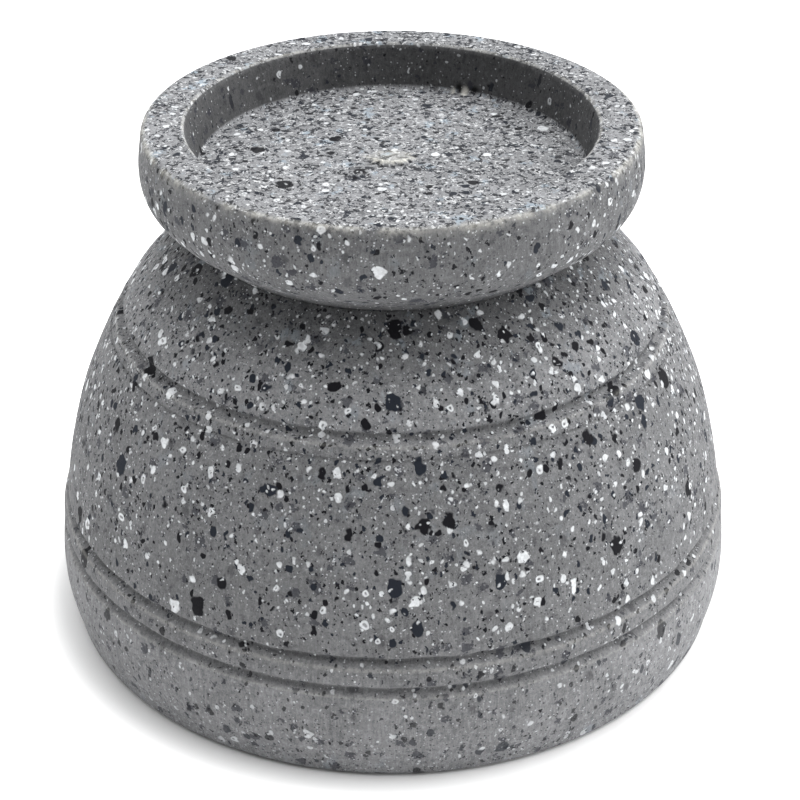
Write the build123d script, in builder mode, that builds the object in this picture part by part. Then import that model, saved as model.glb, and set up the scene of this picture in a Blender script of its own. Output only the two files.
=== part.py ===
from build123d import *
import os
from math import asin, degrees

# A footed mortar turned from wood, standing upside down on its mouth, with its pestle under it.
# Millimetres. The origin is the centre of the mouth, in the plane of the rim that the mortar stands on.
# +Z is the lathe axis, towards the foot. The pestle lies along X on the same plane, inside the bowl.

# Driving dimensions
BAND_RADIUS = 75.2
HEIGHT = 113.8
MOUTH_RADIUS = 62.0
CAVITY_DEPTH = 74.0
FOOT_RADIUS = 52.5
RECESS_DEPTH = 9.8
PESTLE_LENGTH = 104.0
PESTLE_HEAD_RADIUS = 20.0

# Rim and lower band
RIM_RADIUS = 73.2
RIM_ROUND = 2.2
BAND_WIDEST_HEIGHT = 15.5
LOWER_GROOVE_HEIGHT = 23.0
UPPER_GROOVE_HEIGHT = 29.5
GROOVE_SURFACE_RADIUS = 73.9
GROOVE_WIDTH = 2.4
GROOVE_DEPTH = 1.2
BEAD_PROUD = 0.5

# Dome, step and shoulder
DOME_START_RADIUS = 72.6
DOME_LOWER = (70.1, 45.8)
DOME_UPPER = (66.3, 56.8)
STEP_HEIGHT = 71.4
STEP_RADIUS = 59.3
STEP_LIP = 1.6
STEP_RISE = 2.0
SHOULDER_MIDDLE = (52.4, 81.2)

# Cavity, as shares of the mouth's radius and of the depth
CAVITY_UPPER = (0.76, 0.74)
CAVITY_LOWER = (0.96, 0.34)

# Glued joint between the bowl and the foot
SEAT_HEIGHT = 91.5
NECK_RADIUS = 42.0
SOCKET_RADIUS = 28.0
SOCKET_DEPTH = 9.0
GLUE_GAP = 0.1
GLUE_POCKET = 0.5
TENON_RADIUS = SOCKET_RADIUS - GLUE_GAP
TENON_END = SEAT_HEIGHT - SOCKET_DEPTH + GLUE_POCKET

# Foot
FOOT_WIDEST_HEIGHT = 105.8
FOOT_CURVE = (49.04, 97.29)
FOOT_FACE_RADIUS = 51.8
FOOT_EDGE_ROUND = 1.8
RECESS_FLOOR = HEIGHT - RECESS_DEPTH
RECESS_MOUTH_RADIUS = 42.6
RECESS_FLOOR_RADIUS = 40.5
RECESS_BEVEL = 0.8
CENTRE_MARK_RADIUS = 3.0
CENTRE_MARK_DEPTH = 1.2

# Pestle, with its widest and narrowest places as shares of its length
PESTLE_HANDLE_RADIUS = 14.0
PESTLE_WAIST_RADIUS = 11.0
HEAD_PLACE = 0.19
WAIST_PLACE = 0.56
HANDLE_PLACE = 0.91


# The bowl: rim, lower band, dome, step, shoulder and cavity, then the bead's two grooves and the socket
with BuildPart() as mortar_bowl:
    with BuildSketch(Plane.XZ):
        with BuildLine():
            band = Spline(
                (RIM_RADIUS, 0),
                (BAND_RADIUS, BAND_WIDEST_HEIGHT),
                (GROOVE_SURFACE_RADIUS + BEAD_PROUD, LOWER_GROOVE_HEIGHT),
                tangents=((0.25, 1), (-0.15, 1)),
            )
            bead = ThreePointArc(
                band @ 1,
                (GROOVE_SURFACE_RADIUS + 2 * BEAD_PROUD, (LOWER_GROOVE_HEIGHT + UPPER_GROOVE_HEIGHT) / 2),
                (DOME_START_RADIUS + BEAD_PROUD, UPPER_GROOVE_HEIGHT),
            )
            dome = Spline(
                bead @ 1,
                DOME_LOWER,
                DOME_UPPER,
                (STEP_RADIUS, STEP_HEIGHT),
                tangents=((-0.17, 1), (-0.55, 1)),
            )
            lip = Line(dome @ 1, (STEP_RADIUS - STEP_LIP, STEP_HEIGHT))
            riser = Line(lip @ 1, (STEP_RADIUS - STEP_LIP, STEP_HEIGHT + STEP_RISE))
            shoulder = Spline(
                riser @ 1,
                SHOULDER_MIDDLE,
                (NECK_RADIUS, SEAT_HEIGHT),
                tangents=((-0.55, 1), (-0.85, 1)),
            )
            Line(shoulder @ 1, (0, SEAT_HEIGHT))
            Line((0, SEAT_HEIGHT), (0, CAVITY_DEPTH))
            cavity = Spline(
                (0, CAVITY_DEPTH),
                (CAVITY_UPPER[0] * MOUTH_RADIUS, CAVITY_UPPER[1] * CAVITY_DEPTH),
                (CAVITY_LOWER[0] * MOUTH_RADIUS, CAVITY_LOWER[1] * CAVITY_DEPTH),
                (MOUTH_RADIUS, 0),
                tangents=((1, 0), (0, -1)),
            )
            Line(cavity @ 1, (RIM_RADIUS, 0))
        make_face()
    revolve(axis=Axis.Z)
    rim_edges = mortar_bowl.edges().filter_by(GeomType.CIRCLE).group_by(Axis.Z)[0]
    fillet(rim_edges, RIM_ROUND)
    with BuildSketch(Plane.XZ):
        with Locations(
            (GROOVE_SURFACE_RADIUS + BEAD_PROUD, LOWER_GROOVE_HEIGHT),
            (GROOVE_SURFACE_RADIUS + BEAD_PROUD, UPPER_GROOVE_HEIGHT),
        ):
            Ellipse(GROOVE_DEPTH + BEAD_PROUD, GROOVE_WIDTH / 2)
    revolve(axis=Axis.Z, mode=Mode.SUBTRACT)
    with Locations((0, 0, SEAT_HEIGHT)):
        Hole(SOCKET_RADIUS, SOCKET_DEPTH)


# The foot: a disc with a rounded wall, a recessed sole and a round tenon for the bowl's socket
with BuildPart() as foot_ring:
    with BuildSketch(Plane.XZ):
        with BuildLine():
            Polyline(
                (0, RECESS_FLOOR),
                (0, TENON_END),
                (TENON_RADIUS, TENON_END),
                (TENON_RADIUS, SEAT_HEIGHT),
                (NECK_RADIUS, SEAT_HEIGHT),
            )
            wall = Spline(
                (NECK_RADIUS, SEAT_HEIGHT),
                FOOT_CURVE,
                (FOOT_RADIUS, FOOT_WIDEST_HEIGHT),
                (FOOT_FACE_RADIUS, HEIGHT),
                tangents=((1, 0.9), (-0.15, 1)),
            )
            Polyline(
                wall @ 1,
                (RECESS_MOUTH_RADIUS + RECESS_BEVEL, HEIGHT),
                (RECESS_MOUTH_RADIUS, HEIGHT - RECESS_BEVEL),
                (RECESS_FLOOR_RADIUS, RECESS_FLOOR),
                (0, RECESS_FLOOR),
            )
        make_face()
    revolve(axis=Axis.Z)
    top_circles = foot_ring.edges().filter_by(GeomType.CIRCLE).group_by(Axis.Z)[-1]
    fillet(top_circles.sort_by(SortBy.RADIUS)[-1], FOOT_EDGE_ROUND)
    with BuildSketch(Plane.XZ):
        Polygon(
            (0, RECESS_FLOOR + 1),
            (0, RECESS_FLOOR - CENTRE_MARK_DEPTH),
            (CENTRE_MARK_RADIUS, RECESS_FLOOR),
            (CENTRE_MARK_RADIUS, RECESS_FLOOR + 1),
            align=None,
        )
    revolve(axis=Axis.Z, mode=Mode.SUBTRACT)


# The pestle: a round grinding head, a waist and a knobbed handle, lying on its side on the rim plane
taper_length = (HANDLE_PLACE - HEAD_PLACE) * PESTLE_LENGTH
lean = degrees(asin((PESTLE_HEAD_RADIUS - PESTLE_HANDLE_RADIUS) / taper_length))
lying = Plane(
    origin=(-PESTLE_LENGTH / 2, 0, PESTLE_HEAD_RADIUS),
    x_dir=Vector(1, 0, 0).rotate(Axis.Y, lean),
    z_dir=(0, -1, 0),
)
with BuildPart() as pestle:
    with BuildSketch(lying):
        with BuildLine():
            turned = Spline(
                (0, 0),
                (HEAD_PLACE * PESTLE_LENGTH, PESTLE_HEAD_RADIUS),
                (WAIST_PLACE * PESTLE_LENGTH, PESTLE_WAIST_RADIUS),
                (HANDLE_PLACE * PESTLE_LENGTH, PESTLE_HANDLE_RADIUS),
                (PESTLE_LENGTH, 0),
                tangents=((0, 1), (0, -1)),
            )
            Line(turned @ 1, turned @ 0)
        make_face()
    revolve(axis=Axis(lying.origin, lying.x_dir))
resting_height = pestle.part.bounding_box().min.Z
resting_pestle = Pos(0, 0, -resting_height) * pestle.part


os.makedirs("parts", exist_ok=True)
mortar_bowl.part.label = "mortar_bowl"
export_step(mortar_bowl.part, "parts/mortar_bowl.step")
foot_ring.part.label = "foot_ring"
export_step(foot_ring.part, "parts/foot_ring.step")
resting_pestle.label = "pestle"
export_step(resting_pestle, "parts/pestle.step")
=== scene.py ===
"""Looks for a footed mortar turned from wood, painted and spattered to look like stone.

It stands upside down on its mouth with the pestle under it. Lengths are in millimetres in the helper
functions and become metres where a mesh or a node tree is written.
"""
import math

import bpy
import numpy as np
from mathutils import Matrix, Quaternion, Vector


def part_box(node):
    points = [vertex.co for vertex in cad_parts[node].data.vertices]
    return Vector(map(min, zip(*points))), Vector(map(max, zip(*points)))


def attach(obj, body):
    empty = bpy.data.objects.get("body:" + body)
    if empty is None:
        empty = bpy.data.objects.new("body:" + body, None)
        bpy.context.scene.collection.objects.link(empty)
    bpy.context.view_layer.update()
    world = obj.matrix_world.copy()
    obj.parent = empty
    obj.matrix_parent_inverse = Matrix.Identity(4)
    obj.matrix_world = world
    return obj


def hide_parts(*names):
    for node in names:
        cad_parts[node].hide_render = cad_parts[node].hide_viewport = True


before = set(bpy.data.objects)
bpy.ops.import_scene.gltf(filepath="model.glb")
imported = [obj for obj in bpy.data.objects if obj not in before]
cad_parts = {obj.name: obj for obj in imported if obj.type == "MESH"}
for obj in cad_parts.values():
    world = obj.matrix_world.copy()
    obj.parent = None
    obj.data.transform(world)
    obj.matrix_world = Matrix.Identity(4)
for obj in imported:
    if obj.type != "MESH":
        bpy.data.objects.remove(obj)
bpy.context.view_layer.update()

MM = 0.001
SEED = 41

# Places of the turned profile, in millimetres from the rim plane and from the lathe axis
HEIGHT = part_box("foot_ring")[1].z / MM
SEAT_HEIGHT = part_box("mortar_bowl")[1].z / MM
FOOT_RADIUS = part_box("foot_ring")[1].x / MM
TENON_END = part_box("foot_ring")[0].z / MM
CAVITY_DEPTH = 74.0
MOUTH_RADIUS = 62.0
RIM_ROUND = 2.2
RIM_OUTER_RADIUS = 71.0
SOCKET_RADIUS = 28.0
TENON_RADIUS = 27.9
SOCKET_FLOOR = 82.5
NECK_RADIUS = 42.0
LOWER_GROOVE = 23.0
UPPER_GROOVE = 29.5
SCORED_LINE = 68.5
RECESS_DEPTH = 9.8
RECESS_FLOOR = HEIGHT - RECESS_DEPTH
RECESS_EDGE = 40.5
INCISED_RADIUS = 44.3
FOOT_EDGE_ROUND = 1.8
PESTLE_LENGTH = 104.0
PESTLE_HEAD_RADIUS = 20.0
PESTLE_HANDLE_RADIUS = 14.0

# Points round a turned piece: the mortar's two, and the small pestle
COLUMNS = 720
PESTLE_COLUMNS = 240

# Camera: its place in metres, its lens in millimetres, and how far it looks down and rolls, in degrees
CAMERA_PLACE = (0, -0.3974, 0.2836)
LENS = 93.4
LENS_SHIFT = 0.0091
LOOK_DOWN = 30.86
CAMERA_ROLL = -0.2

# Soft lights: azimuth from +X and height above the horizon in degrees, and strength
LIGHTS = (
    (0, 45, 2.5),
    (0, 12, 2.4),
    (45, 45, 1.4),
    (45, 12, 1.1),
    (90, 78, 3.1),
    (135, 12, 1.3),
    (180, 12, 1.5),
)
LIGHT_SPREAD = 50
SURROUND = 0.04

# The table's glow rises from nothing to its full strength between these distances, in metres, so the floor
# right round the base stays unlit as a painted contact shadow
TABLE_HALF = 3.0
GLOW_FROM = 0.0755
GLOW_TO = 0.084
GLOW_STRENGTH = 0.42

# Where the lathe centre tore the middle of the sole, and half the width and depth of the torn patch
TORN_MARK = (-0.2, 2.3)
TORN_SIZE = (4.7, 3.6)

# Chips and pits, the pits only painted shade, in the corner of the recess: angle in degrees, height above
# the floor, width, height, kind
CHIPS = (
    (66.0, 0.5, 0.7, 0.9, "chip"),
    (70.0, 0.4, 0.4, 0.5, "chip"),
    (68.0, 1.0, 0.7, 0.9, "pit_shade"),
    (63.0, 1.2, 1.0, 0.6, "pit_shade"),
)


# ---------------------------------------------------------------- curves and noise

def curve(points, step):
    """A smooth line through a few (radius, height) points, sampled about every step millimetres."""
    pts = np.array(points, float)
    first = 2 * pts[0] - pts[1]
    last = 2 * pts[-1] - pts[-2]
    pts = np.vstack([first, pts, last])
    out = []
    for a, b, c, d in zip(pts, pts[1:], pts[2:], pts[3:]):
        count = max(1, int(round(np.linalg.norm(c - b) / step)))
        t = (np.arange(count) / count)[:, None]
        out.append(0.5 * (2 * b + (c - a) * t + (2 * a - 5 * b + 4 * c - d) * t ** 2
                          + (3 * b - a - 3 * c + d) * t ** 3))
    out.append(pts[-2][None, :])
    return np.vstack(out)


def straight(a, b, step):
    """Points along a straight line, both ends included."""
    count = max(1, int(round(math.dist(a, b) / step)))
    return np.linspace(a, b, count + 1)


def arc(centre, radius, start, end, count):
    """Points along an arc, with angles in degrees from the radius direction towards +Z."""
    t = np.radians(np.linspace(start, end, count))
    return np.stack([centre[0] + radius * np.cos(t), centre[1] + radius * np.sin(t)], 1)


def join(*runs):
    """One line from several runs, with repeated points taken out."""
    pts = np.vstack(runs)
    keep = np.r_[True, np.linalg.norm(np.diff(pts, axis=0), axis=1) > 1e-4]
    return pts[keep]


def wander(angle, seed, low, high):
    """A smooth closed random wave round the axis, about -1 to 1, from low to high waves a turn."""
    rng = np.random.default_rng(SEED + seed)
    total = np.zeros_like(angle)
    waves = np.unique(np.round(np.geomspace(low, high, 14)).astype(int))
    for n in waves:
        total += rng.normal() * np.cos(n * angle + rng.uniform(0, math.tau)) / math.sqrt(len(waves))
    return total


def dip(x, middle, width):
    """A smooth bump of height 1 at middle that falls to 0 at half the width on each side."""
    t = np.clip(np.abs(x - middle) / (width / 2), 0, 1)
    return 0.5 + 0.5 * np.cos(np.pi * t)


# ---------------------------------------------------------------- turned pieces

def turned_mesh(name, profile, shape, columns=COLUMNS):
    """A closed solid turned round Z from a profile that starts and ends on the axis.

    shape takes radius, height and angle grids. It returns the displaced radius and height, and the
    grids that the paint reads by name.
    """
    ring = profile[1:-1]
    angle = np.linspace(0, math.tau, columns, endpoint=False)
    r = np.repeat(ring[:, :1], columns, 1)
    z = np.repeat(ring[:, 1:], columns, 1)
    a = np.repeat(angle[None, :], len(ring), 0)
    r, z, paint_grids = shape(r, z, a)
    grid = np.stack([r * np.cos(a), r * np.sin(a), z], -1).reshape(-1, 3)
    ends = np.array([[0, 0, profile[0, 1]], [0, 0, profile[-1, 1]]])
    verts = np.vstack([grid, ends]) * MM
    rows = len(ring)
    i = np.arange(rows - 1)[:, None] * columns
    j = np.arange(columns)[None, :]
    k = (j + 1) % columns
    quads = np.stack([i + j, i + k, i + columns + k, i + columns + j], -1).reshape(-1, 4)
    first, last = len(grid), len(grid) + 1
    base = (rows - 1) * columns
    start = np.stack([np.full(columns, first), k[0], j[0]], 1)
    end = np.stack([np.full(columns, last), base + j[0], base + k[0]], 1)
    mesh = bpy.data.meshes.new(name)
    mesh.from_pydata(verts.tolist(), [], quads.tolist() + start.tolist() + end.tolist())
    mesh.polygons.foreach_set("use_smooth", np.ones(len(mesh.polygons), bool))
    for label, values in paint_grids.items():
        points = np.r_[values.ravel(), values[0, 0], values[-1, 0]].astype(np.float32)
        mesh.attributes.new(label, "FLOAT", "POINT").data.foreach_set("value", points)
    mesh.update()
    piece = bpy.data.objects.new(name, mesh)
    bpy.context.scene.collection.objects.link(piece)
    return piece


def bowl_profile():
    """The bowl from the crown of the cavity, down inside, round the rim and up outside to the socket."""
    cavity = curve([(0, CAVITY_DEPTH), (24.0, 70.6), (47.1, 54.8), (59.5, 25.2), (61.9, 7.0),
                    (MOUTH_RADIUS, RIM_ROUND)], 1.0)
    inner_round = arc((MOUTH_RADIUS + RIM_ROUND, RIM_ROUND), RIM_ROUND, 180, 270, 8)
    rim = straight((MOUTH_RADIUS + RIM_ROUND, 0), (RIM_OUTER_RADIUS, 0), 1.5)
    outer_round = arc((RIM_OUTER_RADIUS, RIM_ROUND), RIM_ROUND, 270, 350, 10)
    wall = curve([(73.25, 2.5), (74.85, 9.5), (75.1, 15.5), (74.4, 23.0), (73.1, 30.5), (71.3, 40.4),
                  (68.4, 51.4), (65.2, 59.5), (62.1, 66.2)], 0.4)
    lip = curve([(62.1, 66.2), (61.0, 68.2), (59.95, 70.1), (59.6, 70.9), (59.3, 71.3), (58.8, 71.5)], 0.2)
    cove = curve([(58.8, 71.5), (58.2, 71.6), (57.75, 71.85), (57.5, 72.35), (57.5, 72.95), (57.75, 73.4),
                  (57.85, 73.75), (57.6, 74.1)], 0.2)
    shoulder = curve([(57.6, 74.1), (55.7, 77.2), (52.4, 81.1), (48.2, 85.6), (43.7, 89.9),
                      (NECK_RADIUS, SEAT_HEIGHT)], 0.4)
    seat = straight((NECK_RADIUS, SEAT_HEIGHT), (SOCKET_RADIUS, SEAT_HEIGHT), 3)
    socket = straight((SOCKET_RADIUS, SEAT_HEIGHT), (SOCKET_RADIUS, SOCKET_FLOOR), 3)
    floor = straight((SOCKET_RADIUS, SOCKET_FLOOR), (0, SOCKET_FLOOR), 7)
    return join(cavity, inner_round, rim, outer_round, wall, lip, cove, shoulder, seat, socket, floor)


def shape_bowl(r, z, a):
    """Grooves, the bead, the step and the small unevenness of hand turning, and where the paint differs,
    with painted light and shade in the grooves, at the step and under the foot.
    """
    within = (r / 64.5) ** 2 + (z / 84.0) ** 2
    outside = np.clip((within - 1.05) / 0.1, 0, 1) * np.interp(z, (1.0, 3.0, 88.5, 90.5), (0, 1, 1, 0))
    lower = LOWER_GROOVE + 0.10 * wander(a, 1, 2, 40)
    upper = UPPER_GROOVE + 0.10 * wander(a, 2, 2, 40)
    scored = SCORED_LINE + 0.08 * wander(a, 6, 2, 30)
    lower_depth = 1.20 + 0.12 * wander(a, 3, 3, 60)
    upper_depth = 1.20 + 0.16 * wander(a, 4, 3, 60)
    bead = 0.35 * dip(z, (LOWER_GROOVE + UPPER_GROOVE) / 2, 6.0)
    cut = lower_depth * dip(z, lower, 2.9) ** 0.8 + upper_depth * dip(z, upper, 2.6) ** 0.8
    cut = cut + (0.28 + 0.08 * wander(a, 7, 3, 50)) * dip(z, scored, 0.9)
    inside = np.clip((1.0 - within) / 0.05, 0, 1) * np.clip((z - 4) / 4, 0, 1)
    tool_marks = 0.06 * np.sin(math.tau * z / 1.9) * inside
    r = r + outside * (bead - cut) + tool_marks
    r = r + outside * 0.10 * wander(a, 5, 2, 7)
    # painted shade in the grooves, the scored line and the cove under the step, a painted highlight on the
    # lip, and painted shadow on the shoulder under the foot
    shade = 1 - 0.36 * dip(z, lower, 1.9) - 0.36 * dip(z, upper, 1.9) - 0.28 * dip(z, scored, 0.9)
    shade = shade - 0.42 * dip(z, 72.6, 2.2) + 0.12 * dip(z, 71.0, 1.2)
    shade = shade * np.interp(z, (79.5, 84.0, 88.0, 91.5), (1.0, 0.72, 0.58, 0.42))
    # tone by height: lighter on the band near the rim, and painted fill light on the shoulder under the
    # foot's overhang
    height_tone_and_painted_fill = np.interp(z, (0, 19, 25, 34, 68, 76, 92), (1.36, 1.30, 1.10, 1.0, 1.0, 1.25, 1.28))
    # painted highlights along the bead's edges and, in the pale mask below, on the lip of the step
    bead_edge_highlights = 0.22 * dip(z, UPPER_GROOVE - 1.7, 1.1) + 0.2 * dip(z, LOWER_GROOVE - 1.5, 0.9)
    return r, z, {
        "bare": np.clip((1.0 - within) / 0.03, 0, 1),
        "pale": bead_edge_highlights + 0.15 * dip(z, 70.9, 1.2),
        "painted_light_and_tone": height_tone_and_painted_fill * shade,
        "spatter": np.interp(z, (0, 22, 32, 45, 60, 74, 92), (0.5, 0.42, 0.6, 0.82, 1.0, 1.25, 1.25))
                   + 0.9 * dip(z, 70.4, 2.4),
        "dust": np.interp(z, (0, 5, 9, 22, 32, 50, 75, 92), (1.6, 1.4, 0.8, 0.6, 0.8, 1.1, 1.3, 1.3)),
        "crowd": np.interp(z, (0, 3, 8, 30, 74, 92), (0.3, 0.3, 0.0, 0.0, 0.25, 0.45)),
        "ink": np.interp(z, (0, 22, 34, 92), (0.72, 0.75, 1.0, 1.0)),
    }


def foot_profile():
    """The foot from the middle of the recess, over the ring, down the wall and under to the tenon."""
    middle = straight((0, RECESS_FLOOR), (8.0, RECESS_FLOOR), 0.25)
    floor = straight((8.0, RECESS_FLOOR), (39.9, RECESS_FLOOR), 0.5)
    corner = arc((39.9, RECESS_FLOOR + 0.6), 0.6, 270, 340, 5)
    wall = straight((40.62, RECESS_FLOOR + 0.9), (42.35, HEIGHT - 1.3), 0.5)
    lip = curve([(42.45, HEIGHT - 1.0), (42.75, HEIGHT - 0.55), (43.2, HEIGHT - 0.12), (43.7, HEIGHT)], 0.2)
    ring = straight((43.7, HEIGHT), (50.0, HEIGHT), 0.45)
    edge = arc((50.05, HEIGHT - FOOT_EDGE_ROUND), FOOT_EDGE_ROUND, 88, 8, 12)
    side = curve([(51.9, HEIGHT - 2.0), (FOOT_RADIUS, 105.8), (51.75, 101.0), (48.95, 97.2), (44.6, 93.9),
                  (NECK_RADIUS, SEAT_HEIGHT)], 0.5)
    seat = straight((NECK_RADIUS, SEAT_HEIGHT), (TENON_RADIUS, SEAT_HEIGHT), 3)
    tenon = straight((TENON_RADIUS, SEAT_HEIGHT), (TENON_RADIUS, TENON_END), 3)
    end = straight((TENON_RADIUS, TENON_END), (0, TENON_END), 7)
    return join(middle, floor, corner, wall, lip, ring, edge, side, seat, tenon, end)


def shape_foot(r, z, a):
    """Unevenness, the incised line, the torn middle of the sole, rubbed edges, chips and pits, with painted
    top light on upward faces and lit edges, and painted shade in the recess, the crease, the incised line,
    the torn crack and the pits.
    """
    top = np.clip((z - (HEIGHT - 3.0)) / 2.0, 0, 1)
    outside = np.clip((r - 45.0) / 3.0, 0, 1) * np.clip((z - 93.0) / 4.0, 0, 1)
    line_depth = 0.28 + 0.16 * wander(a, 11, 2, 30)
    z = z - top * np.clip(line_depth, 0, 1) * dip(r, INCISED_RADIUS, 0.9)
    r = r + outside * 0.08 * wander(a, 12, 2, 8)
    x, y = r * np.cos(a), r * np.sin(a)
    sole = np.clip((z - (RECESS_FLOOR - 0.5)) / 0.4, 0, 1)
    upward = np.where((r < RECESS_EDGE) | (z > HEIGHT - 0.5), 1.0, 0.0) * sole
    recess_wall = np.where((r > RECESS_EDGE) & (r < 43.2) & (z < HEIGHT - 0.4), sole, 0.0)
    across, back = (x - TORN_MARK[0]) / TORN_SIZE[0], (y - TORN_MARK[1]) / TORN_SIZE[1]
    out, turn = np.hypot(across, back), np.arctan2(back, across)
    out = out * (1 + 0.10 * wander(turn, 13, 3, 20))
    front = dip(turn, math.radians(-90), math.radians(260))
    crest = dip(out, 0.85, 0.7) * front
    crack = dip(out, 1.22, 0.30) * dip(turn, math.radians(-100), math.radians(200))
    hollow = np.maximum(dip(np.hypot(x + 2.0, y - 1.6), 0, 2.2), dip(np.hypot(x + 0.5, y - 0.1), 0, 1.8))
    z = z + sole * (0.7 * crest - 0.5 * crack - 0.5 * hollow)
    # the torn patch is pale with torn fibres, brightest on the raised crest as a painted highlight
    torn_and_crest_highlight = sole * np.clip((1.12 - out) / 0.15, 0, 1) * np.clip(0.35 + 1.2 * crest, 0, 1)
    # a pale rubbed line round the ring's outer edge, and a painted highlight on the bevel of the inner lip
    rubbed_rim_and_lip_highlight = dip(r, 51.2, 1.7) * (z > HEIGHT - 2.4) + 0.8 * dip(r, 43.1, 0.9) * (z > HEIGHT - 1.2)
    rubbed_rim_and_lip_highlight = 0.58 * rubbed_rim_and_lip_highlight * np.clip(0.75 + 0.6 * wander(a, 14, 3, 60), 0, 1)
    pale = np.maximum(torn_and_crest_highlight, rubbed_rim_and_lip_highlight) * (1 - hollow)
    incised_line_shade = dip(r, INCISED_RADIUS, 0.9) * (z > HEIGHT - 1.2)
    # the pits are not cut into the mesh; their darkness is painted shade
    pit_shade = np.zeros_like(r)
    for degrees, height, wide, tall, kind in CHIPS:
        swing = (a - math.radians(degrees) + math.pi) % math.tau - math.pi
        spot = np.hypot(swing * r / wide, (z - RECESS_FLOOR - height) / tall)
        near = (r > RECESS_EDGE - 1.5) & (r < RECESS_EDGE + 3.0)
        cover = near * np.clip(1.6 - spot, 0, 1)
        if kind == "chip":
            pale = np.maximum(pale, cover)
        else:
            pit_shade = np.maximum(pit_shade, cover)
    # painted shade on the foot's underside, darkest at the crease against the shoulder
    crease_shade = np.interp(z, (SEAT_HEIGHT, 92.8, 95.5), (0.35, 0.7, 1.0))
    # painted top light on the upward faces, painted shade on the recess wall and painted shade in the
    # incised line
    painted_light_and_tone = 0.83 + 0.69 * upward - 0.34 * recess_wall - 0.45 * incised_line_shade
    # painted shadow in the crack at the front of the torn crest and painted shade in the hollows of the
    # centre mark
    painted_light_and_tone = painted_light_and_tone * (1 - 0.75 * sole * np.maximum(crack, hollow))
    return r, z, {
        "bare": np.zeros_like(r),
        "pale": pale,
        "painted_light_and_tone": painted_light_and_tone * crease_shade * (1 - 0.9 * pit_shade),
        "spatter": 0.60 - 0.04 * upward - 0.32 * recess_wall,
        "dust": 1.2 + 0.7 * upward - 0.6 * recess_wall,
        "crowd": 0.15 + 0.85 * upward - 0.15 * recess_wall,
        "ink": 0.95 - 0.01 * upward - 0.07 * recess_wall,
    }


def pestle_profile():
    """The pestle standing on its grinding head: head, waist, knobbed handle."""
    bottom = curve([(0, 0), (6.5, 0.7), (12.6, 3.6), (17.2, 9.0), (19.6, 15.0)], 0.7)
    side = curve([(19.6, 15.0), (PESTLE_HEAD_RADIUS, 19.8), (16.8, 36.0), (11.4, 54.0), (11.2, 66.0),
                  (13.5, 88.0), (PESTLE_HANDLE_RADIUS, 94.5)], 0.4)
    top = curve([(PESTLE_HANDLE_RADIUS, 94.5), (13.4, 98.5), (11.2, 101.4), (6.5, 103.4),
                 (0, PESTLE_LENGTH)], 0.6)
    return join(bottom, side, top)


def shape_pestle(r, z, a):
    """Three scored lines under the knob, faint tool marks, and a bruised grinding head."""
    scored = 0.45 * dip(z, 82.0, 1.1) + 0.45 * dip(z, 84.6, 1.1) + 0.45 * dip(z, 87.2, 1.1)
    tool_marks = 0.05 * np.sin(math.tau * z / 1.7) * np.clip((z - 16) / 6, 0, 1)
    bruised = 0.18 * wander(a + 0.4 * z, 21, 5, 40) * np.clip((14 - z) / 6, 0, 1) * np.clip(r / 4, 0, 1)
    r = r - scored + tool_marks + 0.06 * wander(a, 22, 2, 6) * np.clip(r / 8, 0, 1)
    return r - np.abs(bruised), z, {"worn": np.clip((16 - z) / 8, 0, 1)}


def lay_down(piece):
    """Turn the standing pestle on its side along X, with its head to -X, and rest it on the rim plane."""
    drop = math.asin((PESTLE_HEAD_RADIUS - PESTLE_HANDLE_RADIUS) / (0.72 * PESTLE_LENGTH))
    across = Quaternion((0, 1, 0), math.pi / 2 + drop)
    turned = [across @ vertex.co for vertex in piece.data.vertices]
    low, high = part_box("pestle")
    lowest = min(point.z for point in turned)
    middle = (min(point.x for point in turned) + max(point.x for point in turned)) / 2
    shift = Vector(((low.x + high.x) / 2 - middle, 0, low.z - lowest))
    for vertex, point in zip(piece.data.vertices, turned):
        vertex.co = point + shift


# ---------------------------------------------------------------- node trees

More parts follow.
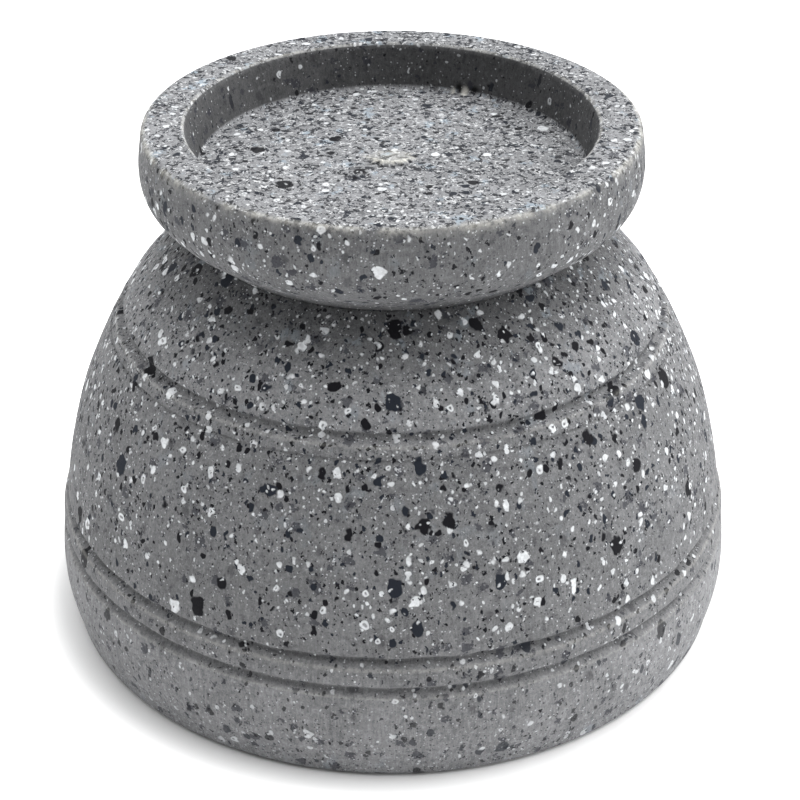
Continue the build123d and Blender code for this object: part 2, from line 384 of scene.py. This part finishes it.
class Tree:
    """A short way to write the nodes of a new material, or of the owner given."""

    def __init__(self, name, owner=None):
        self.material = owner or bpy.data.materials.new(name)
        self.material.use_nodes = True
        self.tree = self.material.node_tree
        self.tree.nodes.clear()
        self.output = self.node("ShaderNodeOutputWorld" if owner else "ShaderNodeOutputMaterial")

    def node(self, kind, **settings):
        made = self.tree.nodes.new(kind)
        for key, value in settings.items():
            setattr(made, key, value)
        return made

    def put(self, socket, value):
        if isinstance(value, bpy.types.NodeSocket):
            self.tree.links.new(value, socket)
        elif value is not None:
            socket.default_value = value

    def math(self, operation, a, b=None, c=None, clamp=False):
        made = self.node("ShaderNodeMath", operation=operation, use_clamp=clamp)
        for socket, value in zip(made.inputs, (a, b, c)):
            self.put(socket, value)
        return made.outputs[0]

    def vector(self, operation, a, b=None):
        made = self.node("ShaderNodeVectorMath", operation=operation)
        self.put(made.inputs[0], a)
        if operation == "SCALE":
            self.put(made.inputs["Scale"], b)
        else:
            self.put(made.inputs[1], b)
        return made.outputs["Value" if operation in ("LENGTH", "DISTANCE", "DOT_PRODUCT") else "Vector"]

    def ramp(self, value, low, high, to_low=0.0, to_high=1.0, kind="SMOOTHSTEP"):
        made = self.node("ShaderNodeMapRange", interpolation_type=kind)
        self.put(made.inputs["Value"], value)
        self.put(made.inputs["From Min"], low)
        self.put(made.inputs["From Max"], high)
        self.put(made.inputs["To Min"], to_low)
        self.put(made.inputs["To Max"], to_high)
        return made.outputs["Result"]

    def mix(self, share, a, b):
        made = self.node("ShaderNodeMix", data_type="RGBA")
        self.put(made.inputs["Factor"], share)
        colours = [s for s in made.inputs if s.type == "RGBA"]
        for socket, value in zip(colours, (a, b)):
            self.put(socket, value if isinstance(value, bpy.types.NodeSocket) else (*value, 1.0))
        return [s for s in made.outputs if s.type == "RGBA"][0]

    def noise(self, place, size, detail=2.0, rough=0.5, distortion=0.0, colour=False):
        made = self.node("ShaderNodeTexNoise", noise_dimensions="3D")
        self.put(made.inputs["Vector"], place)
        self.put(made.inputs["Scale"], 1.0 / size)
        self.put(made.inputs["Detail"], detail)
        self.put(made.inputs["Roughness"], rough)
        self.put(made.inputs["Distortion"], distortion)
        return made.outputs["Color" if colour else "Fac"]


def shifted(t, place, x, y, z):
    return t.vector("ADD", place, (x, y, z))


def drops(t, place, size, share, small, large, edge=0.14, skew=1.4):
    """Round drops of paint, one to a cell, with radii from small to large.

    share is how many of the cells hold a drop. Returns the mask of the drops, a spot in the middle of
    each, how far a point is inside its drop, and the drop's own random number.
    """
    made = t.node("ShaderNodeTexVoronoi", voronoi_dimensions="3D", feature="F1")
    t.put(made.inputs["Vector"], place)
    t.put(made.inputs["Scale"], 1.0 / size)
    away = t.math("MULTIPLY", made.outputs["Distance"], size)
    split = t.node("ShaderNodeSeparateColor")
    t.put(split.inputs[0], made.outputs["Color"])
    first, second, third = split.outputs[0], split.outputs[1], split.outputs[2]
    radius = t.ramp(t.math("POWER", first, skew), 0.0, 1.0, small, large, "LINEAR")
    radius = t.math("MULTIPLY", radius, t.ramp(t.math("SUBTRACT", share, second), 0.0, 0.06))
    depth = t.math("SUBTRACT", radius, away)
    middle = t.math("SUBTRACT", t.math("MULTIPLY", radius, 0.5), away)
    return t.ramp(depth, 0.0, edge), t.ramp(middle, 0.0, edge), depth, third


def attribute(t, name):
    return t.node("ShaderNodeAttribute", attribute_name=name).outputs["Fac"]


def painted_wood(name):
    """Grey paint over vertical grain, spattered with white, black and blue-grey drops."""
    t = Tree(name)
    here = t.node("ShaderNodeTexCoord").outputs["Object"]
    place = t.vector("SCALE", here, 1.0 / MM)

    # fibres that run up the wood, and the coarse and fine unevenness of the grey coat
    tall = t.vector("MULTIPLY", place, (1.0, 1.0, 0.14))
    fibre = t.noise(tall, 0.42, 3.0, 0.7)
    strands = t.noise(tall, 2.2, 2.0, 0.5)
    cloud = t.noise(place, 1.1, 3.0, 0.65)
    mottle = t.noise(place, 11.0, 3.0, 0.55)
    grit = t.noise(place, 0.36, 2.0, 0.75)
    patch = t.ramp(t.noise(place, 13.0, 2.0, 0.5), 0.32, 0.68, 0.7, 1.3)

    spread = t.math("MULTIPLY", attribute(t, "spatter"), patch)
    dust = t.math("MULTIPLY", attribute(t, "dust"), patch)

    sway = t.vector("SUBTRACT", t.noise(place, 1.8, 1.0, 0.5, colour=True), (0.5, 0.5, 0.5))
    wobble = t.vector("SUBTRACT", t.noise(place, 1.1, 2.0, 0.65, colour=True), (0.5, 0.5, 0.5))
    blobs = t.vector("ADD", place, t.vector("SCALE", sway, 1.6))
    blobs = t.vector("MULTIPLY", blobs, (1.0, 1.0, 0.85))
    upright = t.vector("MULTIPLY", t.vector("ADD", place, t.vector("SCALE", sway, 1.7)), (1.0, 1.0, 0.72))
    ragged = t.vector("ADD", place, t.vector("SCALE", wobble, 1.9))
    ragged = t.vector("MULTIPLY", ragged, (1.0, 1.0, 0.68))

    crowd = attribute(t, "crowd")
    grey = t.mix(t.ramp(mottle, 0.3, 0.7), (0.128, 0.129, 0.132), (0.158, 0.159, 0.163))
    grey = t.mix(t.ramp(fibre, 0.52, 0.70, 0.0, 0.42), grey, (0.262, 0.266, 0.272))
    grey = t.mix(t.ramp(fibre, 0.48, 0.30, 0.0, 0.42), grey, (0.062, 0.063, 0.068))
    grey = t.mix(t.ramp(strands, 0.55, 0.72, 0.0, 0.35), grey, (0.080, 0.081, 0.085))
    grey = t.mix(t.ramp(cloud, 0.52, 0.72, 0.0, 0.5), grey, (0.25, 0.255, 0.262))
    grey = t.mix(t.ramp(cloud, 0.48, 0.28, 0.0, 0.6), grey, (0.060, 0.062, 0.068))
    grey = t.mix(t.ramp(grit, 0.52, 0.72, 0.0, 0.28), grey, (0.285, 0.288, 0.292))
    grey = t.mix(t.ramp(grit, 0.48, 0.28, 0.0, 0.28), grey, (0.052, 0.053, 0.057))
    # the grey is scaled by painted light and shade from the mesh: darker in grooves, recesses, creases and
    # pits, lighter on upward faces and on the bowl's band and shoulder
    grey = t.vector("SCALE", grey, attribute(t, "painted_light_and_tone"))
    grey = t.mix(crowd, grey, t.vector("MULTIPLY", grey, (0.99, 1.0, 1.01)))

    white = (0.68, 0.70, 0.72)
    chalk = (0.46, 0.47, 0.49)
    black = (0.006, 0.006, 0.008)
    slate = (0.014, 0.017, 0.024)
    soot = (0.030, 0.030, 0.034)
    sky = (0.30, 0.37, 0.43)

    # the crowded flecks and faint blue smears where the spray settled on the upward faces
    smear = t.ramp(t.noise(shifted(t, ragged, 3.0, 8.0, 5.0), 4.5, 3.0, 0.6), 0.58, 0.70)
    grey = t.mix(t.math("MULTIPLY", t.math("MULTIPLY", smear, crowd), 0.6), grey, sky)
    crumbs = t.noise(shifted(t, place, 40.0, 2.0, 9.0), 1.25, 3.0, 0.62, 0.6)
    level = t.ramp(crowd, 0.0, 1.0, 0.72, 0.555, "LINEAR")
    crumb = t.ramp(t.math("SUBTRACT", crumbs, level), 0.0, 0.03)
    lumps = t.noise(shifted(t, place, 4.0, 22.0, 19.0), 2.6, 3.0, 0.60, 0.9)
    lump_level = t.ramp(crowd, 0.0, 1.0, 0.76, 0.615, "LINEAR")
    lump = t.ramp(t.math("SUBTRACT", lumps, lump_level), 0.0, 0.02)
    flakes = t.noise(shifted(t, place, 14.0, 52.0, 39.0), 0.95, 3.0, 0.62, 0.6)
    flake_level = t.ramp(crowd, 0.0, 1.0, 0.74, 0.585, "LINEAR")
    flake = t.ramp(t.math("SUBTRACT", flakes, flake_level), 0.0, 0.04)

    ink = attribute(t, "ink")
    wide_share = t.math("MULTIPLY", spread, 0.95)
    white_share = t.math("MULTIPLY", spread, 0.92)
    great_share = t.math("MULTIPLY", spread, 0.55)
    torn_edge = t.vector("ADD", place, t.vector("SCALE", wobble, 3.4))
    blot_share = t.math("MULTIPLY", patch, 0.6)
    blot, _, _, _ = drops(t, shifted(t, torn_edge, 71.0, 16.0, 5.0), 3.3, blot_share, 0.45, 1.5, 0.3)
    haze, _, _, _ = drops(t, shifted(t, ragged, 17.0, 61.0, 29.0), 3.0, wide_share, 0.4, 1.4, 0.7)
    dust_dark, _, _, _ = drops(t, shifted(t, place, 7.1, 3.3, 9.2), 0.85, dust, 0.12, 0.30)
    dust_pale, _, _, _ = drops(t, shifted(t, place, 1.7, 8.3, 4.2), 0.80, dust, 0.10, 0.26)
    dark, _, _, dark_tone = drops(t, shifted(t, ragged, 27.0, 13.0, 3.0), 1.25, wide_share, 0.22, 0.52)
    pale, _, pale_in, pale_tone = drops(t, shifted(t, blobs, 31.0, 43.0, 23.0), 1.40,
                                        white_share, 0.20, 0.48, 0.22)
    large_dark, _, _, large_tone = drops(t, shifted(t, upright, 45.0, 3.0, 31.0), 2.5,
                                         wide_share, 0.35, 0.95, 0.2)
    large_pale, spot, large_in, mark = drops(t, shifted(t, blobs, 61.0, 3.0, 53.0), 2.8,
                                             white_share, 0.35, 1.0, 0.3)
    great_dark, _, _, great_tone = drops(t, shifted(t, upright, 5.0, 73.0, 41.0), 5.6,
                                         great_share, 0.7, 2.0, 0.3)
    great_pale, great_spot, great_in, great_mark = drops(t, shifted(t, blobs, 9.0, 25.0, 77.0), 7.0,
                                                         great_share, 0.7, 1.5, 0.3)

    # paint laid on layer by layer; white drops are thin or thick, so some stay grey
    thin = t.math("MULTIPLY", ink, t.ramp(cloud, 0.35, 0.65, 0.7, 1.0))
    pale_cover = t.math("MULTIPLY", thin, t.ramp(pale_tone, 0.0, 1.0, 0.6, 1.0, "LINEAR"))
    large_cover = t.math("MULTIPLY", thin, t.ramp(mark, 0.0, 1.0, 1.0, 0.75, "LINEAR"))
    layers = (
        (haze, 0.5, soot),
        (blot, 0.7, (0.026, 0.027, 0.036)),
        (flake, 0.85, (0.60, 0.61, 0.62)),
        (crumb, 0.9, (0.016, 0.017, 0.021)),
        (lump, 0.92, slate),
        (dust_dark, 0.75, soot),
        (dust_pale, 0.8, chalk),
        (dark, ink, t.mix(t.math("LESS_THAN", dark_tone, 0.4), black, slate)),
        (large_dark, ink, t.mix(t.math("LESS_THAN", large_tone, 0.4), black, slate)),
        (great_dark, ink, t.mix(t.math("LESS_THAN", great_tone, 0.4), black, slate)),
        (pale, pale_cover, white),
        (large_pale, large_cover, white),
        (great_pale, thin, white),
        (t.math("MULTIPLY", spot, t.math("LESS_THAN", mark, 0.4)), 0.85, soot),
        (t.math("MULTIPLY", great_spot, t.math("LESS_THAN", great_mark, 0.6)), 0.8, grey),
    )
    colour = grey
    for mask, cover, tint in layers:
        colour = t.mix(t.math("MULTIPLY", mask, cover), colour, tint)

    # flicked strokes: white ones that ran down the wood, and slanting dark ones
    bent = t.vector("ADD", place, t.vector("SCALE", wobble, 1.2))
    running = t.vector("MULTIPLY", bent, (1.0, 1.0, 0.26))
    run_share = t.math("MULTIPLY", spread, 0.20)
    run, _, _, _ = drops(t, shifted(t, running, 51.0, 7.0, 2.0), 4.6, run_share, 0.3, 0.9, 0.2)
    slant = t.node("ShaderNodeMapping", vector_type="POINT")
    t.put(slant.inputs["Vector"], bent)
    slant.inputs["Rotation"].default_value = (0.0, math.radians(42), 0.0)
    slant.inputs["Scale"].default_value = (1.0, 1.0, 0.24)
    slanted = shifted(t, slant.outputs["Vector"], 8.0, 66.0, 37.0)
    stroke, _, _, _ = drops(t, slanted, 4.2, 0.22, 0.3, 0.75, 0.2)
    colour = t.mix(t.math("MULTIPLY", run, thin), colour, white)
    colour = t.mix(t.math("MULTIPLY", stroke, 0.85), colour, (0.016, 0.017, 0.022))

    # small black drops that fell last, most of them on and round the white ones, their crowding there also
    # painting shadow at the edges of the thick white drops
    near = t.math("MAXIMUM", pale_in, t.math("MAXIMUM", large_in, great_in))
    pepper_and_shadow_share = t.math("MULTIPLY", spread, t.ramp(near, -0.5, 0.1, 0.35, 0.95))
    pepper_and_drop_shadows, _, _, _ = drops(t, shifted(t, ragged, 12.0, 33.0, 19.0), 0.95, pepper_and_shadow_share, 0.14, 0.38)
    colour = t.mix(t.math("MULTIPLY", pepper_and_drop_shadows, 0.93), colour, black)

    # the pale mask holds rubbed paint, torn fibres and chips, and painted highlights on the bead edges, the
    # lips and the torn crest
    worn = t.math("MULTIPLY", attribute(t, "pale"), t.ramp(cloud, 0.36, 0.56, 0.35, 1.0))
    colour = t.mix(t.math("MULTIPLY", worn, 0.75), colour, (0.62, 0.61, 0.56))

    # bare oiled wood inside the bowl and in the chips, with a ragged edge to the paint
    turned_grain = t.noise(tall, 3.0, 4.0, 0.6, 0.4)
    timber = t.mix(t.ramp(turned_grain, 0.3, 0.7), (0.27, 0.165, 0.085), (0.44, 0.31, 0.18))
    edge_noise = t.ramp(t.noise(place, 2.2, 3.0, 0.6), 0.3, 0.7, -0.3, 0.3)
    colour = t.mix(t.ramp(t.math("ADD", attribute(t, "bare"), edge_noise), 0.42, 0.58), colour, timber)

    relief = t.math("ADD", t.math("MULTIPLY", fibre, 0.08), t.math("MULTIPLY", grit, 0.08))
    thick = pale
    for mask in (large_pale, large_dark, great_pale, great_dark):
        thick = t.math("MAXIMUM", thick, mask)
    relief = t.math("ADD", relief, t.math("MULTIPLY", thick, 0.06))
    bump = t.node("ShaderNodeBump")
    t.put(bump.inputs["Height"], relief)
    t.put(bump.inputs["Distance"], MM)
    t.put(bump.inputs["Strength"], 0.8)

    shader = t.node("ShaderNodeBsdfPrincipled")
    t.put(shader.inputs["Base Color"], colour)
    t.put(shader.inputs["Roughness"], t.ramp(grit, 0.3, 0.7, 0.66, 0.82, "LINEAR"))
    t.put(shader.inputs["Specular IOR Level"], 0.1)
    t.put(shader.inputs["Normal"], bump.outputs["Normal"])
    t.put(t.output.inputs["Surface"], shader.outputs["BSDF"])
    return t.material


def bare_wood(name):
    """Oiled turned hardwood, with long grain along the piece and fine pores."""
    t = Tree(name)
    here = t.node("ShaderNodeTexCoord").outputs["Object"]
    place = t.vector("SCALE", here, 1.0 / MM)
    along = t.vector("MULTIPLY", place, (0.06, 1.0, 1.0))
    grain = t.noise(along, 2.2, 4.0, 0.6, 0.4)
    pores = t.noise(along, 0.45, 2.0, 0.6)
    colour = t.mix(t.ramp(grain, 0.3, 0.7), (0.36, 0.22, 0.115), (0.56, 0.40, 0.235))
    colour = t.mix(t.math("MULTIPLY", t.ramp(pores, 0.6, 0.75), 0.5), colour, (0.22, 0.125, 0.06))
    colour = t.mix(t.math("MULTIPLY", attribute(t, "worn"), 0.35), colour, (0.60, 0.47, 0.31))
    bump = t.node("ShaderNodeBump")
    t.put(bump.inputs["Height"], t.math("MULTIPLY", pores, 0.05))
    t.put(bump.inputs["Distance"], MM)
    shader = t.node("ShaderNodeBsdfPrincipled")
    t.put(shader.inputs["Base Color"], colour)
    t.put(shader.inputs["Roughness"], t.ramp(grain, 0.3, 0.7, 0.42, 0.55, "LINEAR"))
    t.put(shader.inputs["Normal"], bump.outputs["Normal"])
    t.put(t.output.inputs["Surface"], shader.outputs["BSDF"])
    return t.material


# ---------------------------------------------------------------- studio

def make_floor():
    """A wide pale table that glows a little away from the piece, as a light table does, and stays unlit
    right round it as a painted contact shadow.
    """
    half = TABLE_HALF
    mesh = bpy.data.meshes.new("studio_floor")
    corners = [(-half, -half, 0), (half, -half, 0), (half, half, 0), (-half, half, 0)]
    mesh.from_pydata(corners, [], [(0, 1, 2, 3)])
    floor = bpy.data.objects.new("studio_floor", mesh)
    bpy.context.scene.collection.objects.link(floor)
    t = Tree("studio_white")
    shader = t.node("ShaderNodeBsdfPrincipled")
    shader.inputs["Base Color"].default_value = (0.92, 0.92, 0.92, 1.0)
    shader.inputs["Roughness"].default_value = 0.9
    shader.inputs["Emission Color"].default_value = (1.0, 1.0, 1.0, 1.0)
    away = t.vector("LENGTH", t.node("ShaderNodeTexCoord").outputs["Object"])
    t.put(shader.inputs["Emission Strength"], t.ramp(away, GLOW_FROM, GLOW_TO, 0.0, GLOW_STRENGTH))
    t.put(t.output.inputs["Surface"], shader.outputs["BSDF"])
    mesh.materials.append(t.material)


def make_world(lights):
    """Soft round lights in a dark surround that the camera sees as plain white."""
    world = bpy.data.worlds.new("studio")
    bpy.context.scene.world = world
    t = Tree("studio", world)
    towards = t.node("ShaderNodeTexCoord").outputs["Generated"]
    total = SURROUND
    rim = math.cos(math.radians(LIGHT_SPREAD))
    for azimuth, height, strength in lights:
        a, h = math.radians(azimuth), math.radians(height)
        aim = (math.cos(h) * math.cos(a), math.cos(h) * math.sin(a), math.sin(h))
        facing = t.vector("DOT_PRODUCT", towards, aim)
        total = t.math("ADD", total, t.ramp(facing, rim, 1.0, 0.0, strength))
    fill = t.node("ShaderNodeBackground")
    t.put(fill.inputs["Strength"], total)
    white = t.node("ShaderNodeBackground")
    t.put(white.inputs["Color"], (1.0, 1.0, 1.0, 1.0))
    mix = t.node("ShaderNodeMixShader")
    t.put(mix.inputs[0], t.node("ShaderNodeLightPath").outputs["Is Camera Ray"])
    t.put(mix.inputs[1], fill.outputs[0])
    t.put(mix.inputs[2], white.outputs[0])
    t.put(t.output.inputs["Surface"], mix.outputs[0])


def make_camera():
    """A short telephoto view from the front, looking down on the foot."""
    lens = bpy.data.cameras.new("camera")
    lens.sensor_width = 36.0
    lens.lens = LENS
    lens.shift_x = LENS_SHIFT
    lens.clip_start = 0.01
    lens.dof.use_dof = False
    camera = bpy.data.objects.new("camera", lens)
    camera.location = CAMERA_PLACE
    camera.rotation_mode = "QUATERNION"
    look_down = Quaternion((1, 0, 0), math.radians(90 - LOOK_DOWN))
    camera.rotation_quaternion = look_down @ Quaternion((0, 0, 1), math.radians(CAMERA_ROLL))
    bpy.context.scene.collection.objects.link(camera)
    bpy.context.scene.camera = camera


# ---------------------------------------------------------------- assembly

paint = painted_wood("speckled_paint")
wood = bare_wood("oiled_wood")

bowl = turned_mesh("turned_bowl", bowl_profile(), shape_bowl)
bowl.data.materials.append(paint)
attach(bowl, "mortar")
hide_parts("mortar_bowl")

foot = turned_mesh("turned_foot", foot_profile(), shape_foot)
foot.data.materials.append(paint)
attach(foot, "mortar")
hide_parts("foot_ring")

pestle = turned_mesh("turned_pestle", pestle_profile(), shape_pestle, PESTLE_COLUMNS)
lay_down(pestle)
pestle.data.materials.append(wood)
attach(pestle, "pestle")
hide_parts("pestle")

make_floor()
make_world(LIGHTS)
make_camera()
bpy.context.scene.view_settings.view_transform = "Standard"
